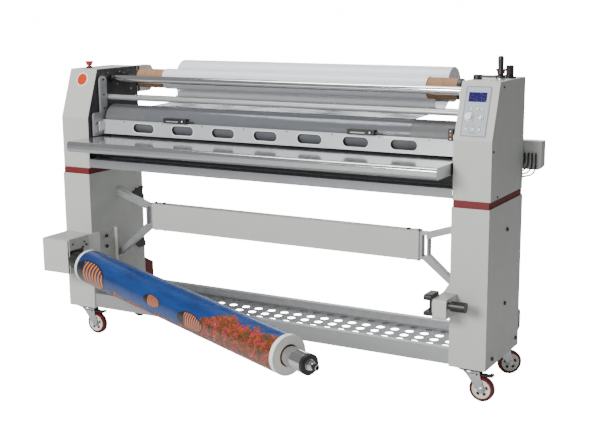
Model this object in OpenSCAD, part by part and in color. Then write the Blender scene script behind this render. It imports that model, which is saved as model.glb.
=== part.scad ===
// Cold roll laminator, 1600 mm class, on castors, with a swing-out take-up shaft.
// Layout frame of the modules: X across the machine from its middle, Y rearwards from the columns'
// front face, Z up from the floor. place() moves that to the origin, the middle of the footprint.

/* [Frame] */
// Width over the two columns
overall_w = 2046; // [2046:2:2056]
// Width of each column
column_w = 150; // [144:1:156]
// Depth of each column
column_d = 391; // [388:1:396]
// Height of the columns' underside
column_bottom = 130; // [128:1:132]
// Height of the columns' top
column_top = 758; // [754:1:760]
// Height of the housings' underside
housing_bottom = 785; // [782:1:788]
// Height of the housings' top
housing_top = 1226; // [1225:1:1236]

/* [Rollers] */
// Radius of the two main rollers
roller_r = 67; // [62:1:68]
// Height of the media plane, which is the feed table's top
media_z = 925; // [924:1:926]
// Depth position of the nip
nip_y = 175; // [175:1:178]
// Opening between the main rollers as drawn
rest_gap = 4; // [3:1:6]

/* [Media] */
// Radius of the film roll on the front supply shaft
film_r = 46; // [45:0.5:50]
// Radius of the paper roll on the rear shaft
rear_roll_r = 73; // [60:1:75]
// Radius of the printed film roll on the take-up shaft
printed_r = 73; // [55:1:74]

/* [Take-up] */
// Angle by which the take-up shaft is swung out
swing_angle = 22; // [21:0.1:22.4]
// Lean of the swing pin, which lets the free end droop as it swings out
swing_lean = 5.6; // [5.2:0.1:5.8]

/* [Castors] */
// Radius of the castor wheels
wheel_r = 50; // [48:0.5:50]
// Distance of the wheel axle from the swivel axis
castor_trail = 46; // [42:1:46]

/* [Hidden] */
$fn = 48;

// Finishes
paint = [0.78, 0.78, 0.75];
black = [0.06, 0.06, 0.065];
crimson = [0.5, 0.06, 0.09];
silver = [0.72, 0.73, 0.74];
zinc = [0.62, 0.63, 0.65];
chrome = [0.85, 0.86, 0.88];

// Shared clearances
sheet_t = 2;
running_gap = 0.05;

// Frame
out_x = overall_w / 2;
in_x = out_x - column_w;
plate_x0 = in_x + sheet_t;
plate_x1 = plate_x0 + 12;
housing_y0 = 9;
housing_y1 = 382;
crease_z = 1012;
slope_run = 78;
slope_rise = housing_top - crease_z;
slope_angle = atan(slope_run / slope_rise);

// Roller stack
bottom_z = media_z - roller_r;
top_z = media_z + rest_gap + roller_r;
journal_r = 20;
lift_down = rest_gap - 0.3;
lift_up = 21;

// Shaft positions, each as [y, z]
supply_at = [300, 1176];
rear_at = [470, 1179];
idler_at = [190, 1178];
static_at = [150, 1097];
turn_at = [366, 1080];
turn_bar_r = 10;
guide_hinge_at = [75, 960];
table_hinge_at = [80, 888];
core_r = 38;
core_outer_r = 43;
film_x = [-637, 654];

// Take-up
swing_x = -984;
swing_y = -90;
swing_z = 400;
latch_x0 = 846;
latch_x1 = 903;
latch_travel = 13;

// Nip crank and the other controls on the housings' tops
crank_x = 897;
crank_y = 185;
crank_arm = 91;
left_estop_at = [-955, 135];
right_estop_at = [943, 322];
estop_stem_r = 8;
estop_collar_h = 9;
pressure_at = [991, 285];

// Castors: swivel positions as [x, y, trail direction]
left_castor_x = -937;
right_castor_x = 955;
front_left = [left_castor_x, 35, 0];
front_right = [right_castor_x, 32, 0];
rear_left = [left_castor_x, 356, 0];
rear_right = [right_castor_x, 360, 40];

// Take-up shaft: the tube's flange and the tip, as distances from the swing pin
tube_r = 36;
flange_s = 1790;
flange_t = 14;
flange_r = 37.5;
tip_s = 1828;
tip_r = 12.5;

// Middle of the footprint: the junction box is the right end, the rear roll the rear end,
// and the flange of the take-up shaft or its tip the front end
junction_x1 = 1092;
side_bolt_r = 8;
forward = sin(swing_angle) * cos(swing_lean);
across = sqrt(1 - forward * forward);
front_y = swing_y - max(flange_s * forward + flange_r * across, tip_s * forward + tip_r * across);
rear_y = rear_at[0] + rear_roll_r;
footprint_x = (junction_x1 - out_x - 0.7 * side_bolt_r) / 2;
footprint_y = (front_y + rear_y) / 2;

module place() {
    translate([-footprint_x, -footprint_y, 0]) children();
}

module block(lo, hi) {
    translate(lo) cube(hi - lo);
}

module both_sides() {
    children();
    mirror([1, 0, 0]) children();
}

// Round bar along X at [y, z]
module bar_x(x0, x1, at, r) {
    translate([x0, at[0], at[1]]) rotate([0, 90, 0]) cylinder(h = x1 - x0, r = r);
}

// Round bar along Y at [x, z]
module bar_y(y0, y1, at, r) {
    translate([at[0], y0, at[1]]) rotate([-90, 0, 0]) cylinder(h = y1 - y0, r = r);
}

// Round bar along Z at [x, y]
module bar_z(z0, z1, at, r) {
    translate([at[0], at[1], z0]) cylinder(h = z1 - z0, r = r);
}

// Outline drawn in Y and Z, extruded along X
module profile_x(x0, x1) {
    translate([x0, 0, 0]) rotate([90, 0, 90]) linear_extrude(x1 - x0) children();
}

// Outline drawn in X and Z, extruded along Y
module profile_y(y0, y1) {
    translate([0, y1, 0]) rotate([90, 0, 0]) linear_extrude(y1 - y0) children();
}

module round_rect(lo, hi, r) {
    translate([lo[0] + r, lo[1]]) square([hi[0] - lo[0] - 2 * r, hi[1] - lo[1]]);
    translate([lo[0], lo[1] + r]) square([hi[0] - lo[0], hi[1] - lo[1] - 2 * r]);
    for (x = [lo[0] + r, hi[0] - r], y = [lo[1] + r, hi[1] - r]) translate([x, y]) circle(r);
}

module slot_outline(centre, length, height) {
    half = (length - height) / 2;
    translate([centre[0] - half, centre[1] - height / 2]) square([2 * half, height]);
    for (side = [-1, 1]) translate([centre[0] + side * half, centre[1]]) circle(height / 2);
}

// ---------------------------------------------------------------- frame

module columns() {
    color(paint) place() both_sides() difference() {
        block([in_x, 0, column_bottom], [out_x, column_d, column_top]);
        block([in_x + 3, 3, column_bottom + 6], [out_x - 3, column_d - 3, column_top + 1]);
    }
}

module band() {
    inset = 4;
    wall = 4;
    difference() {
        block([in_x + inset, inset, column_top],
              [out_x - inset, column_d - inset, housing_bottom]);
        block([in_x + inset + wall, inset + wall, column_top - 1],
              [out_x - inset - wall, column_d - inset - wall, housing_bottom + 1]);
    }
}

module rear_cover() {
    cover_t = 3;
    profile_x(885, 1005) polygon([[391, 294], [471, 252], [471, 182], [391, 140]]);
    profile_x(885 - cover_t, 1005 + cover_t)
        polygon([[391, 300], [391 + cover_t, 300], [391 + cover_t, 134], [391, 134]]);
}

module red_covers() {
    color(crimson) place() both_sides() {
        band();
        rear_cover();
    }
}

module housing_outline(inset) {
    polygon([
        [housing_y0 + inset, housing_bottom],
        [housing_y0 + inset, crease_z],
        [housing_y0 + slope_run + inset, housing_top - inset],
        [housing_y1 - inset, housing_top - inset],
        [housing_y1 - inset, housing_bottom]]);
}

// Vertical slot in which the top roller's journal rises and falls
module journal_window() {
    gap = 2;
    block([in_x - 1, nip_y - journal_r - gap, top_z - lift_down - journal_r - gap],
          [out_x, nip_y + journal_r + gap, top_z + lift_up + journal_r + gap]);
}

module flange_bearing() {
    flange_r = 48;
    difference() {
        bar_x(plate_x1, plate_x1 + 16, [nip_y, bottom_z], flange_r);
        bar_x(plate_x1 - 1, plate_x1 + 17, [nip_y, bottom_z], journal_r + running_gap);
    }
}

module side_plate() {
    difference() {
        profile_x(plate_x0, plate_x1) housing_outline(sheet_t);
        bar_x(plate_x0 - 1, plate_x1 + 1, [nip_y, bottom_z], journal_r + running_gap);
        bar_x(plate_x0 - 1, plate_x1 + 1, idler_at, 8 + running_gap);
        bar_x(plate_x0 - 1, plate_x1 + 1, table_hinge_at, 6 + running_gap);
        journal_window();
    }
    flange_bearing();
}

module inner_frame() {
    guard_y = 97;
    color(black) place() {
        both_sides() side_plate();
        block([-plate_x0 + 0.3, guard_y, 828], [plate_x0 - 0.3, guard_y + 2, 878]);
    }
}

module housing_shell() {
    difference() {
        profile_x(in_x, out_x) housing_outline(0);
        profile_x(in_x - 1, plate_x1) housing_outline(sheet_t);
        profile_x(plate_x1 - 1, out_x - sheet_t) housing_outline(sheet_t);
        block([in_x - 1, housing_y0 + sheet_t, housing_bottom - 1],
              [out_x - sheet_t, housing_y1 - sheet_t, housing_bottom + 1]);
    }
}

// Fixed collar of an emergency stop, in which its stem slides
module estop_collar(at) {
    bar_z(housing_top - 1, housing_top + estop_collar_h, at, 14);
}

module left_housing() {
    color(paint) place() difference() {
        union() {
            mirror([1, 0, 0]) housing_shell();
            estop_collar(left_estop_at);
        }
        bar_z(housing_top - 5, housing_top + 20, left_estop_at, estop_stem_r + running_gap);
    }
}

// Stands children on the right housing's sloping face: x as the machine, y up the slope, z outwards
module on_slope(x, s, h = 0) {
    translate([0, housing_y0, crease_z]) rotate([90 - slope_angle, 0, 0]) translate([x, s, h])
        children();
}

dial_at = [920.6, 90];
selector_at = [969, 89];
button_at = [[925, 121], [951, 121], [968, 121], [917, 43], [943, 43], [968, 43]];
panel_x = [896, 993];
panel_s = [17, 208];

module panel_holes(spare) {
    on_slope(dial_at[0], dial_at[1], -20) cylinder(h = 40, r = 4 + spare);
    on_slope(selector_at[0], selector_at[1], -20) cylinder(h = 40, r = 3 + spare);
    for (at = button_at) on_slope(at[0], at[1], -20) cylinder(h = 40, r = 3.4 + spare);
}

module right_housing() {
    color(paint) place() difference() {
        union() {
            housing_shell();
            estop_collar(right_estop_at);
        }
        panel_holes(0.6);
        bar_z(housing_top - 5, housing_top + 1, [crank_x, crank_y], 8);
        bar_z(housing_top - 5, housing_top + 20, right_estop_at, estop_stem_r + running_gap);
        bar_z(housing_top - 5, housing_top + 1, pressure_at, 4.6);
        for (i = [0:len(lead_x) - 1])
            bar_y(housing_y1 - 6, housing_y1 + 1, [lead_end_x - 2.4, 844 - lead_drop * i], 4.3);
    }
}

module control_panel() {
    color([0.62, 0.66, 0.7]) place() difference() {
        on_slope(0, 0, 0.1) linear_extrude(1.6)
            round_rect([panel_x[0], panel_s[0]], [panel_x[1], panel_s[1]], 4);
        panel_holes(0.5);
        on_slope(0, 0, 1.1) linear_extrude(2) round_rect([908, 148], [980, 186], 1.5);
    }
}

module cross_beam() {
    beam_x = 664;
    color(paint) place() difference() {
        block([-beam_x, 184, 489], [beam_x, 230, 610]);
        block([-beam_x - 1, 187, 492], [beam_x + 1, 231, 607]);
    }
}

module beam_bracket() {
    root_x = in_x;
    hub_x = [662, 704];
    profile_y(190, 222) {
        polygon([[hub_x[1] - 10, 606], [hub_x[1] - 10, 578], [root_x, 635], [root_x, 664]]);
        polygon([[hub_x[1] - 24, 493], [hub_x[1] - 2, 515], [root_x, 368], [root_x, 341]]);
        difference() {
            translate([hub_x[0] - 40, 492.2]) square([hub_x[1] - hub_x[0] + 40, 114.6]);
            translate([hub_x[0] + 14, 506]) square([21, 88]);
        }
    }
    for (foot_z = [[625, 674], [331, 378]])
        block([root_x - 5, 184, foot_z[0]], [root_x, 228, foot_z[1]]);
}

module beam_brackets() {
    color(silver) place() both_sides() beam_bracket();
}

module cap_screw_z(x, y, z, up) {
    translate([x, y, z]) mirror([0, 0, up ? 0 : 1]) difference() {
        cylinder(h = 6, r = 7);
        translate([0, 0, 3]) cylinder(h = 4, r = 3.5, $fn = 6);
    }
}

module cap_screw_x(x, y, z, r) {
    translate([x, y, z]) rotate([0, 90, 0]) difference() {
        cylinder(h = r * 0.7, r = r);
        translate([0, 0, r * 0.3]) cylinder(h = r, r = r * 0.5, $fn = 6);
    }
}

module castor_plate(at) {
    difference() {
        translate([at[0], at[1], column_bottom - 5]) rotate([0, 0, at[2]])
            translate([-37, -31, 0]) cube([74, 62, 5]);
        bar_z(column_bottom - 6, column_bottom + 1, [at[0], at[1]], 8 + running_gap);
    }
}

// Three-pin socket for the mains lead, on the right housing's rear wall
module mains_inlet() {
    face_y = housing_y1 + 7;
    difference() {
        block([900, housing_y1, 800], [934, face_y, 828]);
        block([904, face_y - 3.5, 804], [930, face_y + 1, 824]);
    }
    for (pin = [[-7, 811], [0, 817], [7, 811]])
        block([916 + pin[0], face_y - 4, pin[1] - 3], [918 + pin[0], face_y - 0.5, pin[1] + 3]);
}

module frame_hardware() {
    color(zinc) place() {
        for (x = [-657, -610, 610, 657]) {
            cap_screw_z(x, 206, 610, true);
            cap_screw_z(x, 206, 489, false);
        }
        both_sides() {
            for (at = [[209, 648], [205, 352], [71, 162], [355, 168]])
                cap_screw_x(out_x, at[0], at[1], side_bolt_r);
            for (at = [[128, 1204], [27, 973], [84, 795]]) cap_screw_x(out_x, at[0], at[1], 4);
        }
        for (at = [front_left, front_right, rear_left, rear_right]) castor_plate(at);
        mains_inlet();
    }
}

module tray_rails() {
    color(silver) place() {
        difference() {
            block([-in_x, 5, 136], [in_x, 33, 200]);
            block([-in_x - 1, 8, 139], [in_x + 1, 34, 197]);
        }
        difference() {
            block([-in_x, 341, 136], [in_x, 371, 197]);
            block([-in_x - 1, 344, 139], [in_x + 1, 372, 194]);
        }
    }
}

module perforated_tray() {
    hole_pitch = 67;
    row_pitch = 57;
    hole_r = 18;
    color([0.4, 0.41, 0.42]) place() difference() {
        block([-in_x + 1, 33.2, 163], [in_x - 1, 340.8, 165]);
        for (column = [-12:12], row = [0:4])
            bar_z(162, 166, [column * hole_pitch, 73 + row * row_pitch], hole_r);
    }
}

module front_beam() {
    color([0.6, 0.61, 0.61]) place() difference() {
        block([-in_x, 5, 790], [in_x, 65, 827]);
        block([-in_x - 1, 8, 793], [in_x + 1, 66, 824]);
    }
}

// ---------------------------------------------------------------- rear

module shaft_cup(at, x0) {
    difference() {
        profile_x(x0, x0 + 16) round_rect([at[0] - 24, at[1] - 24], [at[0] + 24, at[1] + 24], 8);
        bar_x(x0 - 1, x0 + 17, at, 10 + running_gap);
    }
}

// Bracket with a notch in which a stored media shaft rests, on the column's inner face
module storage_hook(z) {
    profile_x(in_x - 6, in_x) polygon([
        [308, z + 5], [372, z + 22], [393, z + 22], [380, z - 4], [393, z - 28], [393, z - 48],
        [345, z - 48], [308, z - 20]]);
}

module rear_arm() {
    profile_x(in_x, in_x + 42) polygon([
        [housing_y1 + 0.2, 1102], [housing_y1 + 0.2, 1224], [488, 1224], [506, 1206], [506, 1128],
        [480, 1102]]);
}

module shaft_supports() {
    color(paint) place() both_sides() {
        rear_arm();
        shaft_cup(supply_at, in_x - 14);
        shaft_cup(rear_at, in_x - 16);
        storage_hook(625);
        storage_hook(398);
    }
}

module junction_box() {
    box_x0 = 978;
    color(paint) place() {
        difference() {
            profile_y(400, 450) polygon([[box_x0, 858], [junction_x1 - 12, 858],
                [junction_x1, 870], [junction_x1, 972], [box_x0, 972]]);
            block([box_x0 + 2, 402, 872], [junction_x1 - 2, 448, 970]);
        }
        block([box_x0, housing_y1, 900], [box_x0 + 34, 400, 940]);
        for (x = lead_x) difference() {
            bar_y(393.6, 400.2, [x, 922], 6.5);
            bar_y(393, 399, [x, 922], 4.2);
        }
    }
}

// Cable routes from the junction box's face, round and under it, into the housing's rear wall
lead_x = [1027, 1042, 1057, 1072];
lead_r = 3.4;
lead_drop = 9;
lead_end_x = 980;
function lead_route(i) = let (x = lead_x[i], low = lead_drop * i) [
    [x, 398.8, 922], [x, 393, 922], [x, 389.5, 920.5], [x + 0.5, 387.2, 916.5],
    [x + 1, 386.6, 907], [x + 1, 386.6, 894 - low / 2], [x - 1, 386.6, 884 - low],
    [x - 8, 386.8, 873 - low], [x - 18, 387.5, 864 - low],
    [(x - 18 + lead_end_x) / 2 + 3, 388.5, 855 - low], [lead_end_x + 7, 389, 848 - low],
    [lead_end_x + 1, 388, 845 - low], [lead_end_x - 2, 384.5, 844 - low],
    [lead_end_x - 2.6, 380.5, 844 - low]];

function unit(v) = v / norm(v);

// Tube of round section swept along a list of points; steady is a direction no part of it runs along
module swept_tube(route, r, sides, steady) {
    count = len(route);
    tangents = [for (k = [0:count - 1])
        unit(route[min(k + 1, count - 1)] - route[max(k - 1, 0)])];
    rings = [for (k = [0:count - 1])
        let (side = unit(cross(tangents[k], steady)), up = cross(side, tangents[k]))
        for (j = [0:sides - 1])
            route[k] + r * (side * cos(360 * j / sides) + up * sin(360 * j / sides))];
    walls = [for (k = [0:count - 2], j = [0:sides - 1])
        let (a = k * sides + j, b = k * sides + (j + 1) % sides)
        for (face = [[a, b, b + sides], [a, b + sides, a + sides]]) face];
    start_cap = [[for (j = [sides - 1:-1:0]) j]];
    end_cap = [[for (j = [0:sides - 1]) (count - 1) * sides + j]];
    polyhedron(rings, concat(walls, start_cap, end_cap));
}

module sensor_leads() {
    color(black) place() for (i = [0:len(lead_x) - 1]) swept_tube(lead_route(i), lead_r, 8, [1, 1, -1]);
}

// ---------------------------------------------------------------- nip

module nip_block() {
    difference() {
        block([plate_x1 + 1, nip_y - 35, top_z - 45], [plate_x1 + 41, nip_y + 35, top_z + 40]);
        bar_x(plate_x1, plate_x1 + 42, [nip_y, top_z], journal_r + running_gap);
    }
}

module nip_blocks() {
    color(zinc) place() both_sides() nip_block();
}

module main_roller(z, right_journal) {
    core_t = 12;
    face_x = 852;
    difference() {
        bar_x(-face_x, face_x, [nip_y, z], roller_r);
        bar_x(-face_x + 14, face_x - 14, [nip_y, z], roller_r - core_t);
    }
    bar_x(-plate_x1 - 38, -face_x + 1, [nip_y, z], journal_r);
    bar_x(face_x - 1, right_journal, [nip_y, z], journal_r);
}

module top_roller() {
    color([0.42, 0.43, 0.46]) place() main_roller(top_z, plate_x1 + 38);
}

module bottom_roller() {
    color([0.42, 0.43, 0.46]) place() main_roller(bottom_z, 970);
}

module drive_motor() {
    color([0.3, 0.32, 0.34]) place() {
        difference() {
            block([910, nip_y - 45, bottom_z - 50], [962, nip_y + 45, bottom_z + 50]);
            bar_x(909, 963, [nip_y, bottom_z], journal_r + running_gap);
        }
        bar_y(nip_y + 45, nip_y + 175, [950, bottom_z], 42);
    }
}

module nip_crank() {
    boss_z = housing_top + 0.5;
    color(black) place() {
        bar_z(boss_z, boss_z + 17, [crank_x, crank_y], 17);
        bar_z(top_z + 40 + lift_up + 3, boss_z + 1, [crank_x, crank_y], 5);
        block([crank_x + 8, crank_y - 8, boss_z + 7],
              [crank_x + crank_arm - 13, crank_y + 8, boss_z + 16]);
        difference() {
            bar_z(boss_z, boss_z + 16, [crank_x + crank_arm, crank_y], 17);
            bar_z(boss_z - 1, boss_z + 5, [crank_x + crank_arm, crank_y], 12);
        }
        bar_z(boss_z + 15, boss_z + 60, [crank_x + crank_arm, crank_y], 4);
    }
}

module crank_grip() {
    grip_z0 = housing_top + 17;
    color(black) place() difference() {
        translate([crank_x + crank_arm, crank_y, grip_z0]) rotate_extrude()
            polygon([[0, 0], [9, 0], [11, 6], [10, 30], [11.5, 62], [10, 72], [4, 74], [0, 74]]);
        bar_z(grip_z0 - 1, grip_z0 + 46, [crank_x + crank_arm, crank_y], 4 + running_gap);
    }
}

// ---------------------------------------------------------------- controls

module speed_dial() {
    color([0.9, 0.9, 0.9]) place() on_slope(dial_at[0], dial_at[1]) {
        translate([0, 0, 2]) rotate_extrude()
            polygon([[0, 0], [17.5, 0], [17.5, 2], [15, 4], [14, 14], [12.5, 15.5], [0, 15.5]]);
        translate([-1, 3, 17]) cube([2, 10, 1]);
        translate([0, 0, -12]) cylinder(h = 15, r = 3);
    }
}

module mode_selector() {
    color([0.9, 0.9, 0.9]) place() on_slope(selector_at[0], selector_at[1]) {
        translate([0, 0, 2]) cylinder(h = 5, r = 8);
        translate([-2.5, -8, 6]) cube([5, 16, 7]);
        translate([0, 0, -12]) cylinder(h = 15, r = 2.5);
    }
}

module panel_button(i) {
    cap = i < 3 ? 4 : 5;
    color([0.92, 0.92, 0.9]) place() on_slope(button_at[i][0], button_at[i][1]) {
        translate([0, 0, 3.2]) rotate_extrude()
            polygon([[0, 0], [cap, 0], [cap, 1.6], [cap - 1, 2.6], [0, 2.6]]);
        translate([0, 0, -8]) cylinder(h = 12, r = 2.8);
    }
}

module menu_button() { panel_button(0); }
module up_button() { panel_button(1); }
module down_button() { panel_button(2); }
module run_button() { panel_button(3); }
module reverse_button() { panel_button(4); }
module stop_button() { panel_button(5); }

// Flared head on the stem that slides in the housing's collar
module estop(at, cap_r) {
    cap_z = estop_collar_h + 4.5;
    translate([at[0], at[1], housing_top]) rotate_extrude() polygon([
        [0, -2], [estop_stem_r, -2], [estop_stem_r, cap_z], [cap_r * 0.68, cap_z],
        [cap_r * 0.7, cap_z + 7], [cap_r * 0.8, cap_z + 11], [cap_r - 1, cap_z + 13.6],
        [cap_r, cap_z + 15], [cap_r, cap_z + 17], [cap_r - 1.5, cap_z + 18.6], [0, cap_z + 19]]);
}

module left_estop() {
    color([0.8, 0.05, 0.05]) place() estop(left_estop_at, 20);
}

module right_estop() {
    color([0.8, 0.05, 0.05]) place() estop(right_estop_at, 22);
}

module pressure_knob() {
    grip_r = 15;
    flutes = 12;
    color(black) place() translate([pressure_at[0], pressure_at[1], housing_top]) difference() {
        union() {
            translate([0, 0, -8]) cylinder(h = 10, r = 4);
            translate([0, 0, 0.4]) cylinder(h = 6, r = 24);
            translate([0, 0, 0.4]) cylinder(h = 49, r = grip_r);
        }
        for (k = [0:flutes - 1]) rotate([0, 0, 360 / flutes * k])
            translate([grip_r + 0.6, 0, 12]) cylinder(h = 40, r = 1.6);
    }
}

// ---------------------------------------------------------------- media

module shaft_with_journals(at, r) {
    face = in_x - 20;
    bar_x(-face, face, at, r);
    both_sides() bar_x(face - 1, in_x - 2, at, 10);
}

module supply_shaft() {
    color(black) place() {
        shaft_with_journals(supply_at, 16);
        both_sides() {
            bar_x(748, 783.2, supply_at, core_r - 0.2);
            bar_x(783.2, 796, supply_at, 42);
        }
    }
}

module supply_core() {
    color([0.62, 0.45, 0.3]) place() difference() {
        bar_x(-783, 783, supply_at, core_outer_r);
        bar_x(-784, 784, supply_at, core_r);
    }
}

module supply_film() {
    color([0.9, 0.91, 0.93]) place() difference() {
        bar_x(film_x[0], film_x[1], supply_at, film_r);
        bar_x(film_x[0] - 1, film_x[1] + 1, supply_at, core_outer_r + 0.1);
    }
}

// Film from the supply roll's rear, down round the turn bar and forwards to the top roller
module film_web() {
    skin = 0.7;
    clear_r = roller_r + 0.9;
    wrap_r = turn_bar_r + 1.9;
    under = turn_at[1] - wrap_r;
    to_bar = [turn_at[0] - nip_y, under - top_z];
    touch = atan(to_bar[1] / to_bar[0]) + acos(clear_r / norm(to_bar));
    land = [nip_y + clear_r * cos(touch), top_z + clear_r * sin(touch)];
    path = concat([[supply_at[0] + film_r + 1.2, supply_at[1]]],
                  [for (a = [-22:16:90]) turn_at + wrap_r * [cos(a), -sin(a)]], [land]);
    last = len(path) - 1;
    inner = [for (k = [last:-1:0]) path[k] + [-skin, skin]];
    color([0.75, 0.77, 0.8]) place() profile_x(film_x[0] + 2, film_x[1] - 2)
        polygon(concat(path, inner));
}

module rear_roll() {
    roll_x = [-657, 693];
    plug_w = 26;
    color([0.88, 0.89, 0.9]) place() {
        difference() {
            bar_x(roll_x[0], roll_x[1], rear_at, rear_roll_r);
            bar_x(roll_x[0] - 1, roll_x[1] + 1, rear_at, core_r);
        }
        shaft_with_journals(rear_at, 16);
        for (x = [roll_x[0] + 3, roll_x[1] - 3 - plug_w])
            bar_x(x, x + plug_w, rear_at, core_r - 0.2);
    }
}

module chrome_idler() {
    color(chrome) place() {
        bar_x(-866, 866, idler_at, 16);
        both_sides() bar_x(865, plate_x1 + 4, idler_at, 8);
    }
}

// Static bar in front, with its wire clips, and the turn bar behind it
module web_bars() {
    clip_pitch = 201.6;
    color([0.55, 0.56, 0.57]) place() {
        bar_x(-plate_x0, plate_x0, static_at, 12);
        bar_x(-plate_x0, plate_x0, turn_at, turn_bar_r);
        for (k = [-3.5:3.5])
            translate([k * clip_pitch - 4, static_at[0] - 5, static_at[1] + 10])
                cube([8, 10, 5]);
    }
}

// ---------------------------------------------------------------- front

bracket_x0 = 861;
bracket_x1 = 871;
lock_arc_r = 31;

module lock_arc() {
    intersection() {
        difference() {
            circle(lock_arc_r + 2.8);
            circle(lock_arc_r - 2.8);
        }
        polygon([[0, 0], [60, 34], [60, 70], [-60, 70], [-60, 34]]);
    }
}

module guide_bracket() {
    difference() {
        profile_x(bracket_x0, bracket_x1) difference() {
            union() {
                round_rect([36, 928.5], [116, 1032], 14);
                translate([36, 928.5]) square([80, 30]);
                translate([90, 928.5]) square([47, 242.5]);
                translate([113.5, 1171]) circle(23.5);
            }
            translate([guide_hinge_at[0], guide_hinge_at[1]]) lock_arc();
        }
        bar_x(bracket_x0 - 1, bracket_x1 + 1, guide_hinge_at, 5 + running_gap);
    }
    block([bracket_x1 - 1, 96, 932], [plate_x0, 132, 960]);
    block([bracket_x1 - 1, 96, 1090], [plate_x0, 132, 1110]);
}

module guide_brackets() {
    color(silver) place() both_sides() guide_bracket();
}

module guide_bar() {
    bar_x1 = 858;
    slot_pitch = 210.5;
    color([0.82, 0.83, 0.85]) place() {
        difference() {
            block([-bar_x1, 98, 935], [bar_x1, 103, 999]);
            profile_y(90, 110) for (k = [-3:3]) slot_outline([k * slot_pitch, 968], 114, 40);
        }
        both_sides() {
            block([bar_x1 - 8, 64, 951], [bar_x1, 98.5, 993]);
            bar_x(bar_x1 - 1, bracket_x1 - 2, guide_hinge_at, 5);
            bar_x(bar_x1 - 1, bracket_x1 - 3,
                  guide_hinge_at + lock_arc_r * [cos(45), sin(45)], 2.4);
        }
    }
}

module slitter(x) {
    translate([x, 0, 0]) {
        block([-60, 84, 999.6], [60, 104, 1021]);
        block([-60, 103.3, 990], [60, 106, 1021]);
        block([-34, 82, 1004], [34, 84.5, 1017]);
        bar_y(80, 84.5, [44, 1011], 6);
        bar_x(59, 90, [94, 1008], 3);
    }
}

module left_slitter() {
    color(black) place() slitter(-452);
}

module right_slitter() {
    color(black) place() slitter(449);
}

module feed_table() {
    table_x = 868;
    table_y0 = -145;
    table_y1 = 88;
    table_z0 = media_z - 46;
    wall = 4;
    color([0.75, 0.76, 0.77]) place() {
        difference() {
            profile_x(-table_x, table_x) difference() {
                union() {
                    round_rect([table_y0, table_z0], [0, media_z], 16);
                    translate([table_y0 / 2, table_z0]) square([table_y1 - table_y0 / 2, 46]);
                }
                translate([table_y1 - 10, table_z0 - 1]) square([11, 5]);
            }
            block([-table_x + wall, table_y0 + 18, table_z0 - 1],
                  [table_x - wall, table_y1 - wall, media_z - wall]);
        }
        both_sides() {
            bar_x(table_x - 1, plate_x1 - 1, table_hinge_at, 6);
        }
    }
}

// ---------------------------------------------------------------- take-up

// Runs children along the swung-out shaft: x along it from the swing pin
module on_takeup() {
    translate([swing_x, swing_y, swing_z]) rotate([swing_lean, 0, 0])
        rotate([0, 0, -swing_angle]) children();
}

module swing_pin(r) {
    translate([swing_x, swing_y, swing_z]) rotate([swing_lean, 0, 0])
        translate([0, 0, -70]) cylinder(h = 154, r = r);
}

takeup_z0 = 329;
takeup_z1 = 485;

module takeup_housing() {
    box_x0 = -1017;
    box_y0 = -169;
    wall = 2.5;
    plate_y1 = 162;
    color(paint) place() {
        difference() {
            profile_x(box_x0, -in_x) union() {
                round_rect([box_y0, takeup_z0], [-20, takeup_z1], 10);
                translate([-30, takeup_z0]) square([30, takeup_z1 - takeup_z0]);
            }
            block([box_x0 + wall, box_y0 + wall, takeup_z0 + wall],
                  [-in_x + 1, -wall, takeup_z1 - wall]);
        }
        difference() {
            block([-in_x, box_y0 + 8, takeup_z0 + 2], [-in_x + 4, plate_y1, takeup_z1 + 2]);
            block([-in_x - 1, box_y0 + 10, swing_z - 34], [-in_x + 5, -62, swing_z + 34]);
        }
        block([-in_x, plate_y1 - 4, takeup_z0 + 2], [-in_x + 20, plate_y1, takeup_z1 + 2]);
        translate([0, 0, takeup_z0 + 2]) linear_extrude(takeup_z1 - takeup_z0)
            polygon([[-in_x + 3, -34], [-in_x + 20, 30], [-in_x + 20, 34], [-in_x + 3, 34]]);
        swing_pin(9);
    }
}

module takeup_pivot() {
    color(zinc) place() difference() {
        on_takeup() {
            translate([-20, -22, -32]) cube([58, 44, 64]);
        }
        swing_pin(9 + running_gap);
        on_takeup() translate([14, 0, 0]) rotate([0, 90, 0]) cylinder(h = 60, r = 18 + running_gap);
    }
}

module takeup_shaft() {
    chuck_s = [147, 270];
    hub_s = flange_s + 7;
    ring_s = [tip_s - 13, tip_s - 4];
    color(chrome) place() on_takeup() rotate([0, 90, 0]) difference() {
        rotate_extrude() polygon([
            [0, 15], [18, 15], [18, chuck_s[0]], [37, chuck_s[0]], [37, chuck_s[1] - 4],
            [tube_r, chuck_s[1] - 4], [tube_r, flange_s - flange_t], [flange_r, flange_s - flange_t],
            [flange_r, flange_s], [18, flange_s], [18, hub_s], [9, hub_s + 6], [9, ring_s[0]],
            [tip_r, ring_s[0]], [tip_r, ring_s[1]], [tip_r - 2.5, ring_s[1]],
            [tip_r - 2.5, tip_s], [0, tip_s]]);
        translate([0, 0, tip_s - 14]) cylinder(h = 15, r = 7);
    }
}

// Printed, laminated film wound on a cardboard core
module printed_roll() {
    color([0.1, 0.3, 0.6]) place() on_takeup() rotate([0, 90, 0]) difference() {
        translate([0, 0, 271]) cylinder(h = 1407, r = printed_r);
        translate([0, 0, 270]) cylinder(h = 1409, r = core_r);
    }
}

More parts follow.
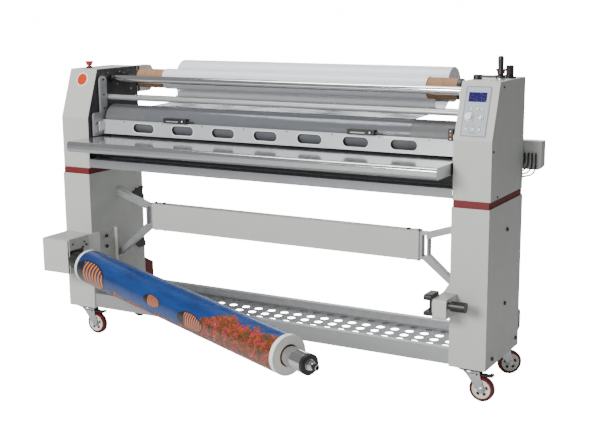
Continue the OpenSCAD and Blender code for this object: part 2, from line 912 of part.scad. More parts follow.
module latch_bracket() {
    wall = 3;
    box = [-112, 349, 424];
    rib_z = 466;
    color(paint) place() {
        difference() {
            union() {
                profile_x(latch_x0, latch_x1) {
                    round_rect([box[0], box[1]], [-20, box[2]], 9);
                    translate([-30, box[1]]) square([30, box[2] - box[1]]);
                }
                bar_x(latch_x1 - 1, latch_x1 + latch_travel + 1, [swing_y, swing_z], 13);
            }
            block([latch_x0 + wall, box[0] + wall, box[1] + wall],
                  [latch_x1 - wall, -wall, box[2] - wall]);
            bar_x(latch_x0 - 1, latch_x1 + latch_travel + 2, [swing_y, swing_z],
                  6 + running_gap);
        }
        block([latch_x0, -1, box[1]], [in_x, 60, box[2]]);
        profile_y(0, 60) polygon([[latch_x0, box[2] - 1], [in_x, rib_z], [in_x, box[2] - 1]]);
        profile_x(latch_x0 - 30, latch_x0) difference() {
            round_rect([swing_y - 34, swing_z - 42], [swing_y + 50, swing_z + 40], 8);
            translate([swing_y - 50, swing_z - 25]) square([75, 45]);
        }
    }
}

module latch_plunger() {
    knob_x0 = latch_x1 + latch_travel + 0.6;
    color(black) place() {
        bar_x(latch_x0 + 1, knob_x0 + 20, [swing_y, swing_z], 6);
        difference() {
            bar_x(knob_x0, knob_x0 + 57, [swing_y, swing_z], 20);
            bar_x(knob_x0 - 1, knob_x0 + 16, [swing_y, swing_z], 14);
        }
    }
}

// ---------------------------------------------------------------- castors

// Castor frame: origin on the swivel axis at floor level, x towards the wheel
module castor(at) {
    translate([at[0], at[1], 0]) rotate([0, 0, at[2]]) children();
}

leg_y = 17;
leg_t = 3;
brake_pivot = [30, wheel_r + 60];

module fork(at, has_brake) {
    axle_z = wheel_r;
    top_z0 = column_bottom - 12;
    color(zinc) place() castor(at) {
        translate([0, 0, top_z0]) cylinder(h = 6.7, r = 30);
        translate([0, 0, top_z0]) cylinder(h = 11, r = 8);
        difference() {
            for (side = [-1, 1])
                profile_y(side * leg_y - leg_t / 2, side * leg_y + leg_t / 2) {
                    polygon([[-24, top_z0 + 1], [40, top_z0 + 1], [46, axle_z + 40],
                             [castor_trail + 13, axle_z + 3], [castor_trail - 13, axle_z - 3]]);
                    translate([castor_trail, axle_z]) circle(13.3);
                }
            if (has_brake) bar_y(-leg_y - 5, leg_y + 5, brake_pivot, 4 + running_gap);
        }
        translate([-26, -leg_y - leg_t / 2, top_z0]) cube([64, 2 * leg_y + leg_t, 3]);
        bar_y(-leg_y - 4, leg_y + 4, [castor_trail, axle_z], 6);
    }
}

module wheel(at) {
    tread_w = 26;
    color([0.6, 0.08, 0.08]) place() castor(at)
        translate([castor_trail, 0, wheel_r]) rotate([90, 0, 0]) rotate_extrude()
            polygon([
                [6 + running_gap, -tread_w / 2], [14, -tread_w / 2], [14, -tread_w / 2 + 5],
                [36, -tread_w / 2 + 5], [38, -tread_w / 2], [wheel_r - 4, -tread_w / 2],
                [wheel_r, -tread_w / 2 + 5], [wheel_r, tread_w / 2 - 5],
                [wheel_r - 4, tread_w / 2], [38, tread_w / 2], [36, tread_w / 2 - 5],
                [14, tread_w / 2 - 5], [14, tread_w / 2], [6 + running_gap, tread_w / 2]]);
}

module brake(at) {
    pedal_z = 2 * wheel_r + 4;
    color(zinc) place() castor(at) {
        translate([26, -13, pedal_z]) cube([54, 26, 5]);
        translate([76, -16, pedal_z]) cube([14, 32, 8]);
        bar_y(-leg_y - 3, leg_y + 3, brake_pivot, 4);
        translate([26, -13, pedal_z]) cube([8, 26, 6]);
    }
}

module front_left_fork() { fork(front_left, true); }
module front_right_fork() { fork(front_right, true); }
module rear_left_fork() { fork(rear_left, false); }
module rear_right_fork() { fork(rear_right, false); }
module front_left_wheel() { wheel(front_left); }
module front_right_wheel() { wheel(front_right); }
module rear_left_wheel() { wheel(rear_left); }
module rear_right_wheel() { wheel(rear_right); }
module left_brake() { brake(front_left); }
module right_brake() { brake(front_right); }

columns();
red_covers();
inner_frame();
left_housing();
right_housing();
cross_beam();
beam_brackets();
frame_hardware();
tray_rails();
perforated_tray();
front_beam();
shaft_supports();
junction_box();
sensor_leads();
control_panel();
guide_brackets();
web_bars();
drive_motor();
takeup_housing();
latch_bracket();
takeup_pivot();
takeup_shaft();
printed_roll();
latch_plunger();
nip_blocks();
top_roller();
bottom_roller();
nip_crank();
crank_grip();
speed_dial();
mode_selector();
menu_button();
up_button();
down_button();
run_button();
reverse_button();
stop_button();
left_estop();
right_estop();
pressure_knob();
supply_shaft();
supply_core();
supply_film();
film_web();
rear_roll();
chrome_idler();
guide_bar();
feed_table();
left_slitter();
right_slitter();
front_left_fork();
front_right_fork();
rear_left_fork();
rear_right_fork();
front_left_wheel();
front_right_wheel();
rear_left_wheel();
rear_right_wheel();
left_brake();
right_brake();
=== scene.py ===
import math
import bpy
import bmesh
from mathutils import Matrix, Vector, noise


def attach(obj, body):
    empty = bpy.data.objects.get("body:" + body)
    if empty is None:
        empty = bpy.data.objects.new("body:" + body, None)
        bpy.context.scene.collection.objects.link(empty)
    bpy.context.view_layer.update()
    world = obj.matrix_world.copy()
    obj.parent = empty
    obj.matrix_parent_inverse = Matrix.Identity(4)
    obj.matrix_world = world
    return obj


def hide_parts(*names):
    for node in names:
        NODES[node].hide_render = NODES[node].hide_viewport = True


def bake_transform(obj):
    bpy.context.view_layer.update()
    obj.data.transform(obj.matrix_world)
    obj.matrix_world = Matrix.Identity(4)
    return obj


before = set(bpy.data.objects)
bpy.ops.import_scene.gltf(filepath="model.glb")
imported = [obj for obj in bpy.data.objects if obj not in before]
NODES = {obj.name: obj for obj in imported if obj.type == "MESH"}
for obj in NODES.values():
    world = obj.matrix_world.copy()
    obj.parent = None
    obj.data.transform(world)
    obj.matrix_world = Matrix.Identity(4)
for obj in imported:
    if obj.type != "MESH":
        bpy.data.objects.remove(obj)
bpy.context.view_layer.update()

# Layout numbers are in mm, as in the CAD: X from mid-width, Y from the columns' front, Z from the floor.
FOOTPRINT = (31.7, -124.571)
MM = 0.001

# Places and sizes shared by several pieces
PLATE_X = 875
COLUMN_INNER_X = 873
BRACKET_X = 861
PIVOT = (-984, -90, 400)
HOUSING_TOP = 1226
HOUSING_FRONT_Y = 9
CREASE_Z = 1012
SLOPE_RUN, SLOPE_RISE = 78, 214
GUIDE_FRONT_Y = 98
WINDOW_Z, WINDOW_PITCH = 968, 210.5
DIAL = (920.6, 90)
SLITTERS = (("left", -452, "slitter_l"), ("right", 449, "slitter_r"))
CRANK_END = (988, 185)
ESTOPS = ((-955, 135), (943, 322))
CASTORS = (("front_left", -937, 35, 0), ("front_right", 955, 32, 0), ("rear_left", -937, 356, 0),
           ("rear_right", 955, 360, 40))
CASTOR_TRAIL, WHEEL_R = 46, 50
SUPPLY = (300, 1176)
REAR_ROLL = (470, 1179)
IDLER = (190, 1178)
STATIC_BAR = (150, 1097)
TURN_BAR = (366.0, 1080.0)
TOP_ROLLER = (175.0, 996.0)


def at(x, y, z):
    return Vector(((x - FOOTPRINT[0]) * MM, (y - FOOTPRINT[1]) * MM, z * MM))


# ------------------------------------------------------------------ camera
YAW, PITCH, ROLL = 0.509326403, 0.200035589, -0.0079877912
EYE = (2361.46, -3836.22, 1545.53)
LENS_MM = 66.07
SENSOR_MM = 36
VIEW_DEPTH = 60
right0 = Vector((math.cos(YAW), math.sin(YAW), 0))
ahead0 = Vector((-math.sin(YAW), math.cos(YAW), 0))
up_axis = Vector((0, 0, 1))
look = ahead0 * math.cos(PITCH) - up_axis * math.sin(PITCH)
up0 = up_axis * math.cos(PITCH) + ahead0 * math.sin(PITCH)
cam_right = right0 * math.cos(ROLL) + up0 * math.sin(ROLL)
cam_up = up0 * math.cos(ROLL) - right0 * math.sin(ROLL)
cam_data = bpy.data.cameras.new("camera")
cam_data.lens = LENS_MM
cam_data.sensor_width = SENSOR_MM
cam_data.clip_end = VIEW_DEPTH
camera = bpy.data.objects.new("camera", cam_data)
bpy.context.scene.collection.objects.link(camera)
turn = Matrix((cam_right, cam_up, -look)).transposed().to_4x4()
camera.matrix_world = Matrix.Translation(at(*EYE)) @ turn
bpy.context.scene.camera = camera


# ------------------------------------------------------------------ materials
def new_material(name):
    m = bpy.data.materials.new(name)
    m.use_nodes = True
    return m, m.node_tree.nodes, m.node_tree.links, m.node_tree.nodes["Principled BSDF"]


def object_coords(n, l, stretch=None):
    c = n.new("ShaderNodeTexCoord").outputs["Object"]
    if stretch is None:
        return c
    mp = n.new("ShaderNodeMapping")
    mp.inputs["Scale"].default_value = stretch
    l.new(c, mp.inputs["Vector"])
    return mp.outputs["Vector"]


def noise_fac(n, l, coords, scale, detail=3.0, rough=0.55):
    t = n.new("ShaderNodeTexNoise")
    t.inputs["Scale"].default_value = scale
    t.inputs["Detail"].default_value = detail
    t.inputs["Roughness"].default_value = rough
    l.new(coords, t.inputs["Vector"])
    return t.outputs["Fac"]


def remap(n, l, fac, low, high, src=(0.3, 0.7)):
    r = n.new("ShaderNodeMapRange")
    r.inputs["From Min"].default_value = src[0]
    r.inputs["From Max"].default_value = src[1]
    r.inputs["To Min"].default_value = low
    r.inputs["To Max"].default_value = high
    l.new(fac, r.inputs["Value"])
    return r.outputs["Result"]


def mix_rgb(n, l, fac, a, b):
    m = n.new("ShaderNodeMix")
    m.data_type = "RGBA"
    for value, key in ((a, 6), (b, 7)):
        if isinstance(value, tuple):
            m.inputs[key].default_value = (*value[:3], 1)
        else:
            l.new(value, m.inputs[key])
    if isinstance(fac, float):
        m.inputs[0].default_value = fac
    else:
        l.new(fac, m.inputs[0])
    return m.outputs[2]


def ramp(n, l, fac, stops, constant=False):
    r = n.new("ShaderNodeValToRGB")
    if constant:
        r.color_ramp.interpolation = "CONSTANT"
    e = r.color_ramp.elements
    e[0].position, e[0].color = stops[0][0], (*stops[0][1], 1)
    e[1].position, e[1].color = stops[1][0], (*stops[1][1], 1)
    for p, c in stops[2:]:
        k = e.new(p)
        k.color = (*c, 1)
    l.new(fac, r.inputs["Fac"])
    return r.outputs["Color"]


def math_node(n, l, op, a, b=None):
    m = n.new("ShaderNodeMath")
    m.operation = op
    for k, v in enumerate((a, b)):
        if v is None:
            continue
        if isinstance(v, (int, float)):
            m.inputs[k].default_value = v
        else:
            l.new(v, m.inputs[k])
    return m.outputs[0]


def add_bump(n, l, p, height, strength, distance):
    b = n.new("ShaderNodeBump")
    b.inputs["Strength"].default_value = strength
    b.inputs["Distance"].default_value = distance
    l.new(height, b.inputs["Height"])
    l.new(b.outputs["Normal"], p.inputs["Normal"])


def scaled(c, k):
    return tuple(min(1.0, v * k) for v in c)


def finish(name, color, rough=(0.4, 0.55), metal=0.0, grain=900, bump=0.15, depth=0.0002, cloud=4.0,
           spread=0.05, stretch=None, coat=0.0):
    """Painted, moulded or metal surface: slow colour drift, fine grain in bump, uneven gloss."""
    m, n, l, p = new_material(name)
    c = object_coords(n, l)
    g = object_coords(n, l, stretch) if stretch else c
    drift = noise_fac(n, l, c, cloud, 4)
    tone = mix_rgb(n, l, drift, scaled(color, 1 - spread), scaled(color, 1 + spread))
    l.new(tone, p.inputs["Base Color"])
    fine = noise_fac(n, l, g, grain, 2)
    worn = noise_fac(n, l, c, cloud * 6, 5)
    both = math_node(n, l, "ADD", math_node(n, l, "MULTIPLY", fine, 0.4),
                     math_node(n, l, "MULTIPLY", worn, 0.6))
    l.new(remap(n, l, both, rough[0], rough[1]), p.inputs["Roughness"])
    p.inputs["Metallic"].default_value = metal
    p.inputs["Coat Weight"].default_value = coat
    p.inputs["Coat Roughness"].default_value = 0.15
    add_bump(n, l, p, fine, bump, depth)
    return m


PAINT = finish("powder_coat", (0.455, 0.47, 0.445), (0.42, 0.56), grain=1100, bump=0.12, spread=0.025,
               coat=0.06)
BLACK_PAINT = finish("black_paint", (0.017, 0.017, 0.019), (0.4, 0.55), grain=700, bump=0.1, spread=0.2)
CRIMSON = finish("crimson_paint", (0.125, 0.0008, 0.003), (0.55, 0.7), grain=1100, bump=0.1, spread=0.08)
ALUMINIUM = finish("brushed_aluminium", (0.38, 0.39, 0.40), (0.34, 0.5), 0.7, 260, 0.1, 0.0001, 3, 0.04,
                   (0.04, 1, 1))
GUIDE = finish("anodised_guide", (0.50, 0.515, 0.53), (0.36, 0.48), 0.45, 300, 0.08, 0.0001, 3, 0.03,
               (0.05, 1, 1))
TABLE = finish("polished_table", (0.47, 0.48, 0.49), (0.1, 0.2), 0.9, 200, 0.05, 0.00008, 5, 0.03, (0.03,
               1, 1))
BEAM = finish("grey_beam", (0.24, 0.25, 0.265), (0.35, 0.5), 0.5, 260, 0.1, 0.0001, 3, 0.05, (0.04, 1, 1))
ZINC = finish("zinc_plate", (0.58, 0.59, 0.60), (0.22, 0.42), 0.9, 420, 0.12, 0.0001, 25, 0.1)
TRAY = finish("tray_sheet", (0.13, 0.135, 0.14), (0.35, 0.5), 0.6, 420, 0.1, 0.0001, 8, 0.1)
CHROME = finish("chrome", (0.78, 0.79, 0.80), (0.06, 0.12), 1.0, 300, 0.03, 0.00005, 10, 0.03, (0.05, 1, 1))
RUBBER = finish("roller_rubber", (0.085, 0.088, 0.092), (0.42, 0.6), grain=800, bump=0.12, spread=0.08)
BLACK = finish("black_plastic", (0.012, 0.012, 0.013), (0.3, 0.5), grain=900, bump=0.2, spread=0.15)
RED = finish("red_plastic", (0.36, 0.003, 0.005), (0.2, 0.32), grain=700, bump=0.05, spread=0.05, coat=0.4)
WHITE = finish("white_plastic", (0.80, 0.80, 0.79), (0.25, 0.4), grain=900, bump=0.06, spread=0.03, coat=0.2)
PANEL = finish("panel_overlay", (0.36, 0.40, 0.45), (0.4, 0.5), grain=1400, bump=0.08, spread=0.02)
PANEL_EDGE = finish("panel_border", (0.19, 0.21, 0.25), (0.4, 0.5), grain=1400, bump=0.08, spread=0.02)
PRINT_DARK = finish("panel_print", (0.03, 0.035, 0.05), (0.4, 0.5), grain=1400, bump=0.05, spread=0.1)
PAPER = finish("wound_film", (0.70, 0.715, 0.75), (0.3, 0.45), grain=60, bump=0.08, depth=0.0003, spread=0.02,
               stretch=(0.15, 1, 1), coat=0.25)
ORANGE = finish("orange_mark", (0.52, 0.045, 0.001), (0.3, 0.4), grain=900, bump=0.05, spread=0.05)
HUB = finish("cream_hub", (0.66, 0.64, 0.58), (0.35, 0.5), grain=900, bump=0.1, spread=0.06)
DARK_STEEL = finish("dark_screw", (0.06, 0.06, 0.065), (0.3, 0.45), 0.8, 900, 0.1, 0.0001, 40, 0.2)
TREAD = finish("red_tread", (0.085, 0.001, 0.002), (0.3, 0.45), grain=500, bump=0.12, spread=0.1, coat=0.15)
CABLE = finish("cable_jacket", (0.012, 0.012, 0.012), (0.45, 0.6), grain=700, bump=0.2, spread=0.2)


def cardboard():
    m, n, l, p = new_material("spiral_board")
    c = object_coords(n, l)
    fibre = noise_fac(n, l, object_coords(n, l, (1, 6, 6)), 120, 5, 0.7)
    xyz = n.new("ShaderNodeSeparateXYZ")
    l.new(c, xyz.inputs[0])
    wind = math_node(n, l, "ADD", math_node(n, l, "MULTIPLY", xyz.outputs["X"], 15.0),
                     math_node(n, l, "MULTIPLY", xyz.outputs["Z"], 8.0))
    seam = math_node(n, l, "LESS_THAN", math_node(n, l, "FRACT", wind), 0.05)
    base = ramp(n, l, fibre, [(0.3, (0.19, 0.095, 0.042)), (0.7, (0.36, 0.21, 0.11))])
    line = math_node(n, l, "MULTIPLY", seam, 0.55)
    l.new(mix_rgb(n, l, line, base, (0.12, 0.06, 0.03)), p.inputs["Base Color"])
    p.inputs["Roughness"].default_value = 0.8
    add_bump(n, l, p, fibre, 0.3, 0.0004)
    return m


def clear_film(name, tint, alpha, crinkle, upper=None, change_z=(1.08, 1.1)):
    """Glossy film; where upper is given, that tint takes over above change_z, where light comes through."""
    m, n, l, p = new_material(name)
    c = object_coords(n, l)
    haze = noise_fac(n, l, object_coords(n, l, (1, 1.5, 4)), 7, 4)
    color = mix_rgb(n, l, haze, scaled(tint, 0.9), scaled(tint, 1.08))
    if upper:
        xyz = n.new("ShaderNodeSeparateXYZ")
        l.new(c, xyz.inputs[0])
        lit = mix_rgb(n, l, haze, scaled(upper, 0.92), scaled(upper, 1.06))
        color = mix_rgb(n, l, remap(n, l, xyz.outputs["Z"], 0.0, 1.0, change_z), color, lit)
    l.new(color, p.inputs["Base Color"])
    l.new(remap(n, l, haze, alpha - 0.03, alpha + 0.03), p.inputs["Alpha"])
    p.inputs["Roughness"].default_value = 0.16
    p.inputs["Coat Weight"].default_value = 0.25
    p.inputs["Coat Roughness"].default_value = 0.08
    fold = noise_fac(n, l, object_coords(n, l, (1.0, 2.5, 5.0)), crinkle, 5, 0.6)
    add_bump(n, l, p, fold, 0.35, 0.004)
    return m


# ------------------------------------------------------------------ the swung-out shaft's frame
SWING, LEAN = math.radians(22.0), math.radians(5.6)
SHAFT = (Matrix.Translation(at(*PIVOT)) @ Matrix.Rotation(LEAN, 4, "X")
         @ Matrix.Rotation(-SWING, 4, "Z"))


def shaft_coords(n, l):
    mp = n.new("ShaderNodeMapping")
    mp.vector_type = "TEXTURE"
    mp.inputs["Location"].default_value = SHAFT.to_translation()
    mp.inputs["Rotation"].default_value = SHAFT.to_euler("XYZ")
    l.new(n.new("ShaderNodeTexCoord").outputs["Object"], mp.inputs["Vector"])
    xyz = n.new("ShaderNodeSeparateXYZ")
    l.new(mp.outputs["Vector"], xyz.inputs[0])
    return mp.outputs["Vector"], xyz.outputs["X"], xyz.outputs["Y"], xyz.outputs["Z"]


def between(n, l, v, low, high):
    return math_node(n, l, "MULTIPLY", math_node(n, l, "GREATER_THAN", v, low),
                     math_node(n, l, "LESS_THAN", v, high))


def distance_from_axis(n, l, y, z):
    return math_node(n, l, "SQRT", math_node(n, l, "ADD", math_node(n, l, "MULTIPLY", y, y),
                                             math_node(n, l, "MULTIPLY", z, z)))


PRINTED_R = 0.073
PRINT_SPAN = (0.289, 1.659)
BOARD_R = 0.0405


def printed_film():
    """Generic underwater-coloured print: blue field, reef-coloured patches, striped ovals, white margins."""
    m, n, l, p = new_material("printed_film")
    s, y, z = shaft_coords(n, l)[1:]
    angle = math_node(n, l, "ARCTAN2", z, math_node(n, l, "MULTIPLY", y, -1.0))
    arc = math_node(n, l, "MULTIPLY", angle, PRINTED_R)
    flat = n.new("ShaderNodeCombineXYZ")
    l.new(s, flat.inputs[0])
    l.new(arc, flat.inputs[1])
    uv = flat.outputs[0]
    streak = n.new("ShaderNodeMapping")
    streak.inputs["Scale"].default_value = (1, 5, 1)
    l.new(uv, streak.inputs["Vector"])
    water = ramp(n, l, noise_fac(n, l, streak.outputs["Vector"], 4, 3), [
        (0.3, (0.0005, 0.018, 0.10)), (0.7, (0.001, 0.042, 0.19))])
    patch = noise_fac(n, l, uv, 22, 2, 0.5)
    warm = ramp(n, l, noise_fac(n, l, uv, 75, 4, 0.75), [
        (0.0, (0.004, 0.004, 0.005)), (0.4, (0.03, 0.010, 0.004)), (0.46, (0.26, 0.03, 0.001)),
        (0.52, (0.45, 0.10, 0.002)), (0.57, (0.16, 0.005, 0.002)), (0.63, (0.6, 0.5, 0.38))], True)
    coral = ramp(n, l, noise_fac(n, l, uv, 34, 5, 0.8), [
        (0.0, (0.01, 0.012, 0.02)), (0.42, (0.10, 0.075, 0.004)), (0.46, (0.16, 0.001, 0.002)),
        (0.49, (0.008, 0.009, 0.014)), (0.52, (0.40, 0.10, 0.001)), (0.55, (0.30, 0.002, 0.06)),
        (0.59, (0.006, 0.007, 0.01)),
        (0.66, (0.55, 0.56, 0.6))], True)
    toward_end = remap(n, l, s, 0.0, 1.0, (0.9, 1.2))
    spread = math_node(n, l, "ADD", patch, math_node(n, l, "MULTIPLY", toward_end, 0.2))
    pick = math_node(n, l, "GREATER_THAN", spread, 0.56)
    reef = mix_rgb(n, l, pick, warm, coral)
    shape = noise_fac(n, l, uv, 9, 5, 0.62)
    low = math_node(n, l, "MULTIPLY", arc, -6.0)
    high = remap(n, l, arc, 0.0, 0.45, (0.075, 0.105))
    left = remap(n, l, s, 0.3, 0.0, (0.27, 0.5))
    far = remap(n, l, s, 0.0, 0.75, (1.05, 1.40))
    level = math_node(n, l, "ADD", math_node(n, l, "ADD", shape, low), math_node(n, l, "ADD", left, far))
    top_patch = math_node(n, l, "MULTIPLY", high, math_node(n, l, "LESS_THAN", s, 0.56))
    level = math_node(n, l, "ADD", level, top_patch)
    color = mix_rgb(n, l, math_node(n, l, "GREATER_THAN", level, 0.7), water, reef)
    for s0, a0, rs, ra, k in ((0.40, 0.002, 0.130, 0.066, 40.0), (0.90, 0.018, 0.062, 0.024, 95.0),
                              (1.17, 0.004, 0.085, 0.036, 70.0)):
        u = math_node(n, l, "DIVIDE", math_node(n, l, "SUBTRACT", s, s0), rs)
        v = math_node(n, l, "DIVIDE", math_node(n, l, "SUBTRACT", arc, a0), ra)
        v2 = math_node(n, l, "MULTIPLY", v, v)
        d = math_node(n, l, "ADD", math_node(n, l, "MULTIPLY", u, u), v2)
        d = math_node(n, l, "ADD", d, math_node(n, l, "MULTIPLY", patch, 0.3))
        phase = math_node(n, l, "ADD", math_node(n, l, "MULTIPLY", s, k),
                          math_node(n, l, "MULTIPLY", v2, -0.8))
        stripes = ramp(n, l, math_node(n, l, "FRACT", phase), [
            (0.0, (0.55, 0.17, 0.0)), (0.30, (0.004, 0.004, 0.01)), (0.42, (0.002, 0.03, 0.16)),
            (0.62, (0.003, 0.006, 0.03)), (0.80, (0.30, 0.03, 0.0)), (0.90, (0.6, 0.2, 0.001))], True)
        head = math_node(n, l, "LESS_THAN", u, -0.45)
        stripes = mix_rgb(n, l, head, stripes, (0.006, 0.006, 0.012))
        rim = math_node(n, l, "GREATER_THAN", d, 0.98)
        stripes = mix_rgb(n, l, rim, stripes, (0.006, 0.006, 0.02))
        color = mix_rgb(n, l, math_node(n, l, "LESS_THAN", d, 1.16), color, stripes)
    radius = distance_from_axis(n, l, y, z)
    side = math_node(n, l, "GREATER_THAN", radius, PRINTED_R - 0.0008)
    inside = math_node(n, l, "MULTIPLY", between(n, l, s, *PRINT_SPAN), side)
    layers = math_node(n, l, "FRACT", math_node(n, l, "MULTIPLY", radius, 260.0))
    paper = mix_rgb(n, l, layers, (0.50, 0.50, 0.47), (0.62, 0.62, 0.60))
    edge = mix_rgb(n, l, side, paper, (0.72, 0.73, 0.75))
    board = math_node(n, l, "LESS_THAN", radius, BOARD_R)
    edge = mix_rgb(n, l, board, edge, (0.20, 0.10, 0.05))
    l.new(mix_rgb(n, l, inside, edge, color), p.inputs["Base Color"])
    wrinkle = noise_fac(n, l, object_coords(n, l, (1, 3, 3)), 18, 3)
    l.new(remap(n, l, wrinkle, 0.25, 0.38), p.inputs["Roughness"])
    p.inputs["Coat Weight"].default_value = 0.2
    p.inputs["Coat Roughness"].default_value = 0.12
    relief = math_node(n, l, "ADD", wrinkle, math_node(n, l, "MULTIPLY", layers, 0.15))
    add_bump(n, l, p, relief, 0.12, 0.0006)
    return m


def shaft_metal():
    """Chrome tube and neck with black chuck, end flange and ring, by distance along the shaft."""
    m, n, l, p = new_material("takeup_metal")
    vec, s, y, z = shaft_coords(n, l)
    radius = distance_from_axis(n, l, y, z)
    flange = math_node(n, l, "MULTIPLY", between(n, l, s, 1.7762, 1.7903),
                       math_node(n, l, "GREATER_THAN", radius, 0.0195))
    black = math_node(n, l, "MAXIMUM", between(n, l, s, 0.1, 0.2665), flange)
    black = math_node(n, l, "MAXIMUM", black, between(n, l, s, 1.8145, 1.8243))
    scuff = noise_fac(n, l, vec, 30, 4)
    steel = mix_rgb(n, l, scuff, (0.62, 0.625, 0.63), (0.76, 0.765, 0.77))
    l.new(mix_rgb(n, l, black, steel, (0.010, 0.010, 0.011)), p.inputs["Base Color"])
    l.new(math_node(n, l, "SUBTRACT", 1.0, black), p.inputs["Metallic"])
    rough = math_node(n, l, "ADD", remap(n, l, scuff, 0.06, 0.14), math_node(n, l, "MULTIPLY", black, 0.3))
    l.new(rough, p.inputs["Roughness"])
    add_bump(n, l, p, noise_fac(n, l, vec, 400, 2), 0.04, 0.0001)
    return m


def latch_paint():
    """Powder coat on the bracket, black on the cradle and the collar, by position across the machine."""
    m, n, l, p = new_material("latch_paint")
    c = object_coords(n, l)
    xyz = n.new("ShaderNodeSeparateXYZ")
    l.new(c, xyz.inputs[0])
    edge = at(846.2, 0, 0).x
    collar = at(903.2, 0, 0).x
    dark = math_node(n, l, "MAXIMUM", math_node(n, l, "LESS_THAN", xyz.outputs["X"], edge),
                     math_node(n, l, "GREATER_THAN", xyz.outputs["X"], collar))
    drift = noise_fac(n, l, c, 5, 4)
    paint = mix_rgb(n, l, drift, (0.47, 0.485, 0.455), (0.50, 0.515, 0.485))
    l.new(mix_rgb(n, l, dark, paint, (0.012, 0.012, 0.013)), p.inputs["Base Color"])
    fine = noise_fac(n, l, c, 1100, 2)
    l.new(remap(n, l, fine, 0.38, 0.52), p.inputs["Roughness"])
    add_bump(n, l, p, fine, 0.12, 0.0002)
    return m


def support_paint():
    """Black front cups and hooks between the housings, powder coat on the rear arms and cups."""
    m, n, l, p = new_material("support_paint")
    c = object_coords(n, l)
    xyz = n.new("ShaderNodeSeparateXYZ")
    l.new(c, xyz.inputs[0])
    middle = math_node(n, l, "SUBTRACT", xyz.outputs["X"], at(0, 0, 0).x)
    across = math_node(n, l, "ABSOLUTE", middle)
    outside = math_node(n, l, "GREATER_THAN", across, (COLUMN_INNER_X + 0.1) * MM)
    rear = math_node(n, l, "GREATER_THAN", xyz.outputs["Y"], at(0, 400, 0).y)
    outside = math_node(n, l, "MAXIMUM", outside, rear)
    drift = noise_fac(n, l, c, 5, 4)
    paint = mix_rgb(n, l, drift, (0.445, 0.46, 0.435), (0.465, 0.48, 0.455))
    dark = mix_rgb(n, l, drift, (0.013, 0.013, 0.014), (0.02, 0.02, 0.021))
    l.new(mix_rgb(n, l, outside, dark, paint), p.inputs["Base Color"])
    fine = noise_fac(n, l, c, 1100, 2)
    l.new(remap(n, l, fine, 0.4, 0.54), p.inputs["Roughness"])
    add_bump(n, l, p, fine, 0.12, 0.0002)
    return m


# ------------------------------------------------------------------ dress the CAD nodes
def dress(material, *names):
    for name in names:
        o = NODES[name]
        o.data.materials.clear()
        o.data.materials.append(material)


def soften(width, *names):
    for name in names:
        b = NODES[name].modifiers.new("edge", "BEVEL")
        b.width = width
        b.segments = 2
        b.limit_method = "ANGLE"
        b.angle_limit = math.radians(50)
        b.use_clamp_overlap = True


dress(PAINT, "columns", "left_housing", "right_housing", "cross_beam", "junction_box", "takeup_housing")
dress(support_paint(), "shaft_supports")
dress(latch_paint(), "latch_bracket")
dress(CRIMSON, "red_covers")
dress(BLACK_PAINT, "inner_frame")
dress(ALUMINIUM, "beam_brackets", "tray_rails", "guide_brackets", "web_bars")
dress(BEAM, "front_beam")
dress(GUIDE, "guide_bar")
dress(TABLE, "feed_table")
dress(ZINC, "takeup_pivot", "nip_blocks", "drive_motor", "front_left_fork", "front_right_fork",
      "rear_left_fork", "rear_right_fork")
dress(DARK_STEEL, "frame_hardware")
dress(TRAY, "perforated_tray")
dress(CHROME, "chrome_idler")
dress(shaft_metal(), "takeup_shaft")
dress(RUBBER, "top_roller", "bottom_roller")
dress(BLACK, "left_brake", "right_brake", "latch_plunger", "nip_crank", "crank_grip", "pressure_knob",
      "left_slitter", "right_slitter", "supply_shaft")
dress(RED, "left_estop", "right_estop")
dress(WHITE, "speed_dial", "mode_selector", "menu_button", "up_button", "down_button", "run_button",
      "reverse_button", "stop_button")
dress(PANEL, "control_panel")
dress(PAPER, "supply_film", "rear_roll")
dress(cardboard(), "supply_core")
dress(printed_film(), "printed_roll")
dress(TREAD, "front_left_wheel", "front_right_wheel", "rear_left_wheel", "rear_right_wheel")
dress(CABLE, "sensor_leads")
soften(0.0018, "columns", "left_housing", "right_housing", "takeup_housing", "latch_bracket", "junction_box")
soften(0.0012, "guide_bar", "cross_beam", "red_covers")


# ------------------------------------------------------------------ mesh building
def circle_point(r, k, sides):
    a = 2 * math.pi * k / sides
    return r * math.cos(a), r * math.sin(a)


def hexagon(r):
    return [circle_point(r, k, 6) for k in range(6)]


